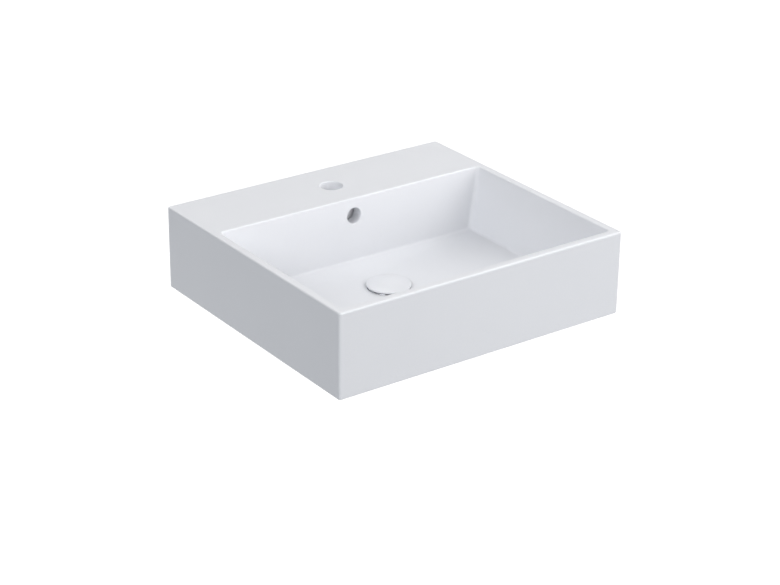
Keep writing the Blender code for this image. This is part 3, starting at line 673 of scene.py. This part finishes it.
def make_under_gasket(rubber):
    """The tapered rubber ring that closes the outlet from below, with moulded ribs on its seating face."""
    low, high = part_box("under_gasket")
    outer = high.x
    inner = TAIL_RADIUS + THREAD_GAP
    edge = 1.2 * MM
    edge_rise = 2 * MM
    bottom_inset = 2 * MM
    side_inset = 0.4 * MM
    side_drop = 2.4 * MM
    taper = 4.5 * MM
    rib = 0.5 * MM
    rib_inset = 6.2 * MM
    rib_spacing = 1.8 * MM
    rib_count = 3
    seat = high.z - rib
    rows = [(inner, low.z), (outer - bottom_inset, low.z)]
    rows += arc((outer - edge, low.z + edge_rise), edge, -pi / 3, pi / 6, 3)
    rows += [(outer - side_inset, high.z - side_drop), (outer - taper, seat)]
    for index in range(rib_count):
        middle = outer - rib_inset - index * rib_spacing
        rows += [(middle + rib, seat), (middle, high.z), (middle - rib, seat)]
    rows += [(inner, seat)]
    gasket = polar("tapered_gasket", rows)
    settle(gasket, rubber, "basin_body", "under_gasket", offset=(0, DRAIN_Y, 0))


def make_back_nut(brass):
    """Eight-sided brass nut with chamfered corners, a raised seat and a thread in its bore."""
    low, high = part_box("back_nut")
    sides = 8
    flats = 2 * high.x * cos(pi / sides)
    half = flats / 2
    outline = many_sided(flats, sides, high.x)
    crown = many_sided(flats, sides, half + 0.2 * MM)
    bore = TAIL_RADIUS + THREAD_GAP
    mouth = bore + 1.2 * MM
    thread_depth = 0.9 * MM
    seat_height = 0.8 * MM
    chamfer = 1.1 * MM
    shoulder = high.z - seat_height
    rows = [(mouth, low.z), (half - 0.6 * MM, low.z)]
    rows += [(crown, low.z + 0.4 * MM), (outline, low.z + 1.5 * MM)]
    rows += [(outline, high.z - 2 * chamfer), (crown, high.z - chamfer), (half - 1 * MM, shoulder)]
    rows += [(half - 1.6 * MM, high.z), (mouth, high.z)]
    rows += threaded(bore, bore + thread_depth, PIPE_PITCH, low.z + seat_height, shoulder)[::-1]
    nut = polar("waste_back_nut", rows)
    settle(nut, brass, "basin_body", "back_nut", offset=(0, DRAIN_Y, 0))


def make_spring(steel):
    """The compression spring, round in the wire, with closed ends."""
    low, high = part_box("return_spring")
    wire = 0.5 * MM
    radius = high.x - wire
    closed_turns = 0.75
    open_turns = 6
    turns = open_turns + 2 * closed_turns
    closed_rise = wire * 2.1
    sides = 12
    steps_per_turn = 36
    bottom = low.z + wire
    top = high.z - wire

    def height_at(turn):
        if turn <= closed_turns:
            return bottom + closed_rise * turn
        if turn >= turns - closed_turns:
            return top - closed_rise * (turns - turn)
        first = bottom + closed_rise * closed_turns
        last = top - closed_rise * closed_turns
        return first + (last - first) * (turn - closed_turns) / open_turns

    steps = int(turns * steps_per_turn)
    upward = Vector((0, 0, 1))
    around = [tau * side / sides for side in range(sides)]
    rings = []
    for step in range(steps + 1):
        turn = turns * step / steps
        outward = Vector((cos(tau * turn), sin(tau * turn), 0))
        middle = outward * radius + Vector((0, DRAIN_Y, height_at(turn)))
        rings.append([middle + (outward * cos(angle) + upward * sin(angle)) * wire for angle in around])
    spring = lofted("coil_spring", rings)
    settle(spring, steel, None, "return_spring")
    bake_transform(spring)


# ---------------------------------------------------------------- wall fixings


def make_stud(side, x, steel):
    """Hanger bolt: wood screw in the wall, plain shank, M10 thread, driving hexagon at the outer end."""
    tip = 0.05 * MM
    point = -68 * MM
    screw_start = point + 9 * MM
    screw_end = -10 * MM
    screw_root = 3.2 * MM
    screw_pitch = 4 * MM
    shank = 4.9 * MM
    shank_start = -9 * MM
    thread_start = 0.6 * MM
    thread_root = 4.1 * MM
    outer_end = 36 * MM
    thread_end = outer_end - 6 * MM
    hexagon = many_sided(6.8 * MM, 6, 4 * MM)
    hexagon_start = outer_end - 5.3 * MM
    chamfer = 0.6 * MM
    rows = [(tip, point), (2.2 * MM, point + 5 * MM), (3.1 * MM, screw_start)]
    rows += threaded(M10_RADIUS, screw_root, screw_pitch, screw_start, screw_end, 8)
    rows += [(shank, shank_start), (shank, 0), (4.2 * MM, thread_start)]
    rows += threaded(M10_RADIUS, thread_root, M10_PITCH, thread_start, thread_end, 6)
    rows += [(thread_root, hexagon_start - 0.2 * MM), (hexagon, hexagon_start)]
    rows += [(hexagon, outer_end - chamfer), (3.1 * MM, outer_end), (tip, outer_end)]
    stud = polar(f"{side}_hanger_bolt", rows, 36)
    settle(stud, steel, "basin_body", f"{side}_stud", pi / 2, (x, 0, 0))


def make_wall_plug(side, x, nylon):
    """Split nylon plug: a collar at the mouth, barbed rings along it, and two slits that let it spread."""
    mouth = -2 * MM
    length = 60 * MM
    end = mouth - length
    bore = M10_RADIUS + THREAD_GAP
    outer = 7 * MM
    collar = 2 * MM
    barb_root = 6.3 * MM
    barb_tip = 6.95 * MM
    barb_length = 4 * MM
    barb_count = 13
    over = 1 * MM
    slit = 0.8 * MM
    slit_turn = 0.3
    rows = [(bore, mouth), (outer, mouth), (outer, mouth - collar), (6.4 * MM, mouth - collar - 0.4 * MM)]
    for index in range(barb_count):
        top = mouth - 2 * collar - index * barb_length
        rows += [(barb_root, top), (barb_tip, top - 0.5 * MM), (barb_root, top - barb_length + 0.4 * MM)]
    rows += [(6.0 * MM, end + 1.5 * MM), (5.6 * MM, end), (bore, end)]
    plug = polar(f"{side}_ribbed_plug", rows, 48)
    for turn in (0, pi / 2):
        cutter = block("slit", (-outer - over, -slit, end - over), (outer + over, slit, mouth - length / 2))
        cutter.data.transform(Matrix.Rotation(turn + slit_turn, 4, "Z"))
        combine(plug, cutter)
    settle(plug, nylon, "basin_body", f"{side}_wall_plug", pi / 2, (x, 0, 0))


def make_nut(side, x, steel):
    """M10 hexagon nut, chamfered at both faces, threaded inside."""
    low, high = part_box(f"{side}_nut")
    start, end = -high.y, -low.y
    sides = 6
    flats = 17 * MM
    face = flats / 2 - 0.4 * MM
    outline = many_sided(flats, sides, flats / 2 / cos(pi / sides))
    crown = many_sided(flats, sides, flats / 2 + 0.3 * MM)
    crown_rise = 0.3 * MM
    chamfer = 1 * MM
    bore = M10_RADIUS + THREAD_GAP
    mouth = bore + 0.6 * MM
    thread_depth = 0.5 * MM
    lead = 0.5 * MM
    rows = [(mouth, start), (face, start), (crown, start + crown_rise), (outline, start + chamfer)]
    rows += [(outline, end - chamfer), (crown, end - crown_rise), (face, end), (mouth, end)]
    rows += threaded(bore, bore + thread_depth, M10_PITCH, start + lead, end - lead)[::-1]
    nut = polar(f"{side}_hex_nut", rows, 72)
    settle(nut, steel, "basin_body", f"{side}_nut", pi / 2, (x, 0, 0))


# ---------------------------------------------------------------- materials


class Finish:
    """A Principled material with short ways to add noise, ramps and bump, all in the object's own space."""

    def __init__(self, name, colour, roughness, metallic=0.0):
        self.made = bpy.data.materials.new(name)
        self.made.use_nodes = True
        self.nodes = self.made.node_tree.nodes
        self.links = self.made.node_tree.links
        self.shader = self.nodes["Principled BSDF"]
        self.shader.inputs["Base Color"].default_value = (*colour, 1)
        self.shader.inputs["Roughness"].default_value = roughness
        self.shader.inputs["Metallic"].default_value = metallic
        self.place = self.nodes.new("ShaderNodeTexCoord").outputs["Object"]

    def noise(self, scale, detail, distortion=0.0, stretch=(1, 1, 1)):
        where = self.nodes.new("ShaderNodeMapping")
        where.inputs["Scale"].default_value = stretch
        self.links.new(self.place, where.inputs["Vector"])
        texture = self.nodes.new("ShaderNodeTexNoise")
        texture.inputs["Scale"].default_value = scale
        texture.inputs["Detail"].default_value = detail
        texture.inputs["Distortion"].default_value = distortion
        self.links.new(where.outputs["Vector"], texture.inputs["Vector"])
        return texture.outputs["Fac"]

    def cells(self, scale):
        texture = self.nodes.new("ShaderNodeTexVoronoi")
        texture.inputs["Scale"].default_value = scale
        self.links.new(self.place, texture.inputs["Vector"])
        return texture.outputs["Color"]

    def spread(self, value, low, high, start=0.3, end=0.7):
        """A value between start and end mapped to between low and high."""
        mapped = self.nodes.new("ShaderNodeMapRange")
        mapped.inputs["From Min"].default_value = start
        mapped.inputs["From Max"].default_value = end
        mapped.inputs["To Min"].default_value = low
        mapped.inputs["To Max"].default_value = high
        self.links.new(value, mapped.inputs["Value"])
        return mapped.outputs["Result"]

    def maths(self, operation, first, second):
        step = self.nodes.new("ShaderNodeMath")
        step.operation = operation
        for socket, value in zip(step.inputs, (first, second)):
            if isinstance(value, (int, float)):
                socket.default_value = value
            else:
                self.links.new(value, socket)
        return step.outputs["Value"]

    def blend(self, share, first, second):
        """One colour fading into another by share."""
        mix = self.nodes.new("ShaderNodeMix")
        mix.data_type = "RGBA"
        self.links.new(share, mix.inputs["Factor"])
        for socket, value in ((mix.inputs["A"], first), (mix.inputs["B"], second)):
            if isinstance(value, tuple):
                socket.default_value = (*value, 1)
            else:
                self.links.new(value, socket)
        return mix.outputs["Result"]

    def colour(self, value):
        self.links.new(value, self.shader.inputs["Base Color"])

    def roughness(self, value):
        self.links.new(value, self.shader.inputs["Roughness"])

    def bump(self, height, distance, strength, under=None):
        bump = self.nodes.new("ShaderNodeBump")
        bump.inputs["Strength"].default_value = strength
        bump.inputs["Distance"].default_value = distance
        self.links.new(height, bump.inputs["Height"])
        if under:
            self.links.new(under, bump.inputs["Normal"])
        self.links.new(bump.outputs["Normal"], self.shader.inputs["Normal"])
        return bump.outputs["Normal"]

    def part_of_place(self, axis):
        split = self.nodes.new("ShaderNodeSeparateXYZ")
        self.links.new(self.place, split.inputs["Vector"])
        return split.outputs[axis]


def glaze_material(name, bare=False):
    """White sanitary glaze: satin, faintly wavy, uneven in tone. bare leaves foot and back unglazed."""
    white = (0.80, 0.81, 0.84)
    finish = Finish(name, white, 0.33)
    tone = finish.spread(finish.noise(9, 4), 0, 1)
    specks = finish.spread(finish.noise(900, 2), 0, 1, 0.35, 0.65)
    shade = finish.maths("MULTIPLY", finish.maths("ADD", tone, specks), 0.5)
    colour = finish.blend(shade, (0.790, 0.798, 0.825), (0.814, 0.821, 0.847))
    gloss = finish.spread(finish.noise(35, 3), 0.30, 0.37)
    waves = finish.bump(finish.noise(28, 2), 0.12 * MM, 0.5)
    if bare:
        ragged = finish.maths("MULTIPLY", finish.noise(160, 4), 0.8 * MM)
        above_foot = finish.maths("SUBTRACT", finish.part_of_place("Z"), FOOT_BOTTOM)
        from_wall = finish.maths("MULTIPLY", finish.part_of_place("Y"), -1.0)
        nearest = finish.maths("MINIMUM", above_foot, from_wall)
        biscuit = finish.spread(finish.maths("SUBTRACT", nearest, ragged), 1, 0, 0.1 * MM, 0.35 * MM)
        clay_tone = finish.spread(finish.noise(220, 5), 0, 1)
        clay = finish.blend(clay_tone, (0.70, 0.67, 0.61), (0.80, 0.78, 0.73))
        colour = finish.blend(biscuit, colour, clay)
        gloss = finish.maths("MAXIMUM", gloss, finish.maths("MULTIPLY", biscuit, 0.85))
        grain = finish.maths("MULTIPLY", finish.noise(1500, 2), biscuit)
        finish.bump(grain, 0.15 * MM, 0.8, waves)
    finish.colour(colour)
    finish.roughness(gloss)
    return finish.made


def metal_material(name, colour, dull, roughness, ring_scale, grain):
    """Turned or plated metal: fine tool marks round the axis, uneven gloss, duller patches."""
    finish = Finish(name, colour, roughness, 1.0)
    patches = finish.spread(finish.noise(60, 4, 0.6), 0, 1, 0.42, 0.72)
    finish.colour(finish.blend(patches, colour, dull))
    finish.roughness(finish.spread(finish.noise(180, 5), roughness * 0.75, roughness * 1.4))
    marks = finish.noise(ring_scale, 2, 0.0, (0.02, 0.02, 1.0))
    under = finish.bump(marks, grain, 0.6)
    finish.bump(finish.noise(1200, 3), grain * 0.6, 0.4, under)
    return finish.made


def zinc_material():
    """Bright zinc plating: small crystals of uneven brightness, with a faint blue and yellow cast."""
    blue = (0.56, 0.59, 0.64)
    straw = (0.66, 0.64, 0.56)
    bright = (0.74, 0.74, 0.75)
    finish = Finish("zinc_plate", blue, 0.34, 1.0)
    cast = finish.spread(finish.noise(45, 3, 0.8), 0, 1, 0.4, 0.65)
    crystals = finish.spread(finish.cells(700), 0, 1, 0.0, 1.0)
    plain = finish.blend(cast, blue, straw)
    finish.colour(finish.blend(finish.maths("MULTIPLY", crystals, 0.25), plain, bright))
    finish.roughness(finish.spread(finish.noise(260, 5), 0.26, 0.46))
    finish.bump(finish.noise(1800, 3), 0.02 * MM, 0.5)
    return finish.made


def rubber_material():
    """Black EPDM: matte, faintly dusty in patches, with a moulded skin."""
    finish = Finish("epdm_rubber", (0.03, 0.03, 0.03), 0.62)
    dust = finish.spread(finish.noise(120, 5), 0, 0.35, 0.5, 0.8)
    finish.colour(finish.blend(dust, (0.022, 0.022, 0.024), (0.12, 0.12, 0.115)))
    finish.roughness(finish.spread(finish.noise(300, 3), 0.52, 0.74))
    finish.bump(finish.noise(1400, 4), 0.03 * MM, 0.6)
    return finish.made


def plastic_material(name, light, dark, roughness):
    """Moulded plastic: soft flow marks, a fine spark-eroded skin and a slightly uneven tone."""
    finish = Finish(name, light, roughness)
    flow = finish.spread(finish.noise(40, 3, 1.5), 0, 1)
    finish.colour(finish.blend(flow, light, dark))
    finish.roughness(finish.spread(finish.noise(400, 4), roughness * 0.8, roughness * 1.25))
    finish.bump(finish.noise(2200, 3), 0.02 * MM, 0.5)
    return finish.made


# ---------------------------------------------------------------- stage, lights, camera


def area_light(name, place, size, power, colour=(1, 1, 1)):
    """A square soft box that looks at the basin."""
    data = bpy.data.lights.new(name, "AREA")
    data.shape = "SQUARE"
    data.size = size
    data.energy = power
    data.color = colour
    lamp = bpy.data.objects.new(name, data)
    bpy.context.scene.collection.objects.link(lamp)
    lamp.location = place
    direction = Vector(LAMP_AIM) - Vector(place)
    lamp.rotation_euler = direction.to_track_quat("-Z", "Y").to_euler()


def make_stage():
    """A floor far below the hanging basin that glows of itself: a faint glow everywhere and a painted pool
    of light, a brighter glow, behind the basin.
    """
    floor_drop = 0.85
    size = 40.0
    pool_centre = Vector((1.3, 1.55))
    pool_radius = 2.1
    pool_edge = 0.6
    maker = bmesh.new()
    bmesh.ops.create_grid(maker, x_segments=1, y_segments=1, size=size / 2)
    floor = object_from("stage_floor", maker)
    floor.location = (*pool_centre, RIM_TOP - floor_drop)
    floor_glow = Finish("glowing_floor", (0.1, 0.1, 0.1), 0.9)
    distance = floor_glow.nodes.new("ShaderNodeVectorMath")
    distance.operation = "LENGTH"
    floor_glow.links.new(floor_glow.place, distance.inputs[0])
    # painted light: the floor's emission is brighter in a round pool behind the basin and faint elsewhere;
    # no lamp lights this floor
    pool = floor_glow.spread(distance.outputs["Value"], 1, 0, pool_radius, pool_radius + pool_edge)
    pool.node.interpolation_type = "SMOOTHSTEP"
    glow = floor_glow.maths("MULTIPLY", pool, POOL_RADIANCE - FLOOR_RADIANCE)
    floor_glow.links.new(floor_glow.maths("ADD", glow, FLOOR_RADIANCE), floor_glow.shader.inputs["Emission Strength"])
    floor_glow.links.new(floor_glow.blend(pool, FLOOR_TINT, (1, 1, 1)), floor_glow.shader.inputs["Emission Color"])
    floor.data.materials.append(floor_glow.made)


def make_lights():
    """An even, dim world and large soft boxes round the basin."""
    scene = bpy.context.scene
    world = bpy.data.worlds.new("studio")
    scene.world = world
    world.use_nodes = True
    background = world.node_tree.nodes["Background"]
    background.inputs["Color"].default_value = (1, 1, 1, 1)
    background.inputs["Strength"].default_value = WORLD_RADIANCE
    scene.view_settings.view_transform = "Standard"
    scene.view_settings.look = "None"
    area_light("front_right", (1.8, -3.4, 1.2), 2.2, 47)
    area_light("front_low", (0.3, -4.0, 1.2), 2.5, 52)
    area_light("left", (-4.5, -1.6, 3.2), 2.5, 140, (0.98, 1.0, 1.02))
    area_light("right_side", (3.2, -0.4, 2.2), 2.0, 42)
    area_light("top_right", (1.6, -0.4, 2.6), 1.6, 19)
    area_light("back", (0.0, 3.2, 2.6), 2.5, 28)
    area_light("back_high", (0.9, 2.4, 3.6), 2.5, 40)


def make_camera():
    """The camera at the photograph's viewing angle, with its slight roll."""
    data = bpy.data.cameras.new("camera")
    data.lens = CAMERA_LENS
    data.sensor_width = SENSOR_WIDTH
    camera = bpy.data.objects.new("camera", data)
    bpy.context.scene.collection.objects.link(camera)
    back = Vector(
        (
            sin(CAMERA_AZIMUTH) * cos(CAMERA_ELEVATION),
            -cos(CAMERA_AZIMUTH) * cos(CAMERA_ELEVATION),
            sin(CAMERA_ELEVATION),
        )
    )
    level = Vector((cos(CAMERA_AZIMUTH), sin(CAMERA_AZIMUTH), 0))
    upright = back.cross(level)
    right = level * cos(CAMERA_ROLL) + upright * sin(CAMERA_ROLL)
    up = -level * sin(CAMERA_ROLL) + upright * cos(CAMERA_ROLL)
    turn = Matrix((right, up, back)).transposed().to_4x4()
    camera.matrix_world = Matrix.Translation(CAMERA_AIM + back * CAMERA_DISTANCE) @ turn
    bpy.context.scene.camera = camera


# ---------------------------------------------------------------- the whole scene


def dress_frame(finishes):
    """Gives every CAD node that still shows its material and a fine rounding of its edges."""
    rounding = 0.2 * MM
    for row in frame["record"]["subparts"]:
        node = frame["nodes"][row["node"]]
        if node.hide_render:
            continue
        node.data.materials.clear()
        node.data.materials.append(finishes[row["material_slot"]])
        soften(node, rounding)


def make_finishes():
    """The materials behind the glaze, by material slot."""
    chrome, dull_chrome = (0.78, 0.79, 0.81), (0.70, 0.71, 0.73)
    brass, dull_brass = (0.74, 0.56, 0.29), (0.60, 0.43, 0.20)
    return {
        "chromed_brass": metal_material("chrome_plate", chrome, dull_chrome, 0.12, 1500, 0.004 * MM),
        "brass": metal_material("machined_brass", brass, dull_brass, 0.30, 1200, 0.02 * MM),
        "zinc_steel": zinc_material(),
        "black_rubber": rubber_material(),
        "grey_nylon": plastic_material("nylon", (0.56, 0.57, 0.59), (0.50, 0.51, 0.53), 0.48),
        "white_acetal": plastic_material("acetal", (0.84, 0.84, 0.81), (0.78, 0.78, 0.75), 0.38),
    }


def main():
    finishes = make_finishes()
    make_basin(glaze_material("sanitary_glaze", bare=True))
    make_cap(glaze_material("cap_glaze"))
    make_waste_body(finishes["chromed_brass"])
    make_under_gasket(finishes["black_rubber"])
    make_back_nut(finishes["brass"])
    make_spring(finishes["zinc_steel"])
    for side, x in (("left", -FIXING_X), ("right", FIXING_X)):
        make_stud(side, x, finishes["zinc_steel"])
        make_wall_plug(side, x, finishes["grey_nylon"])
        make_nut(side, x, finishes["zinc_steel"])
    dress_frame(finishes)
    make_stage()
    make_lights()
    make_camera()


main()
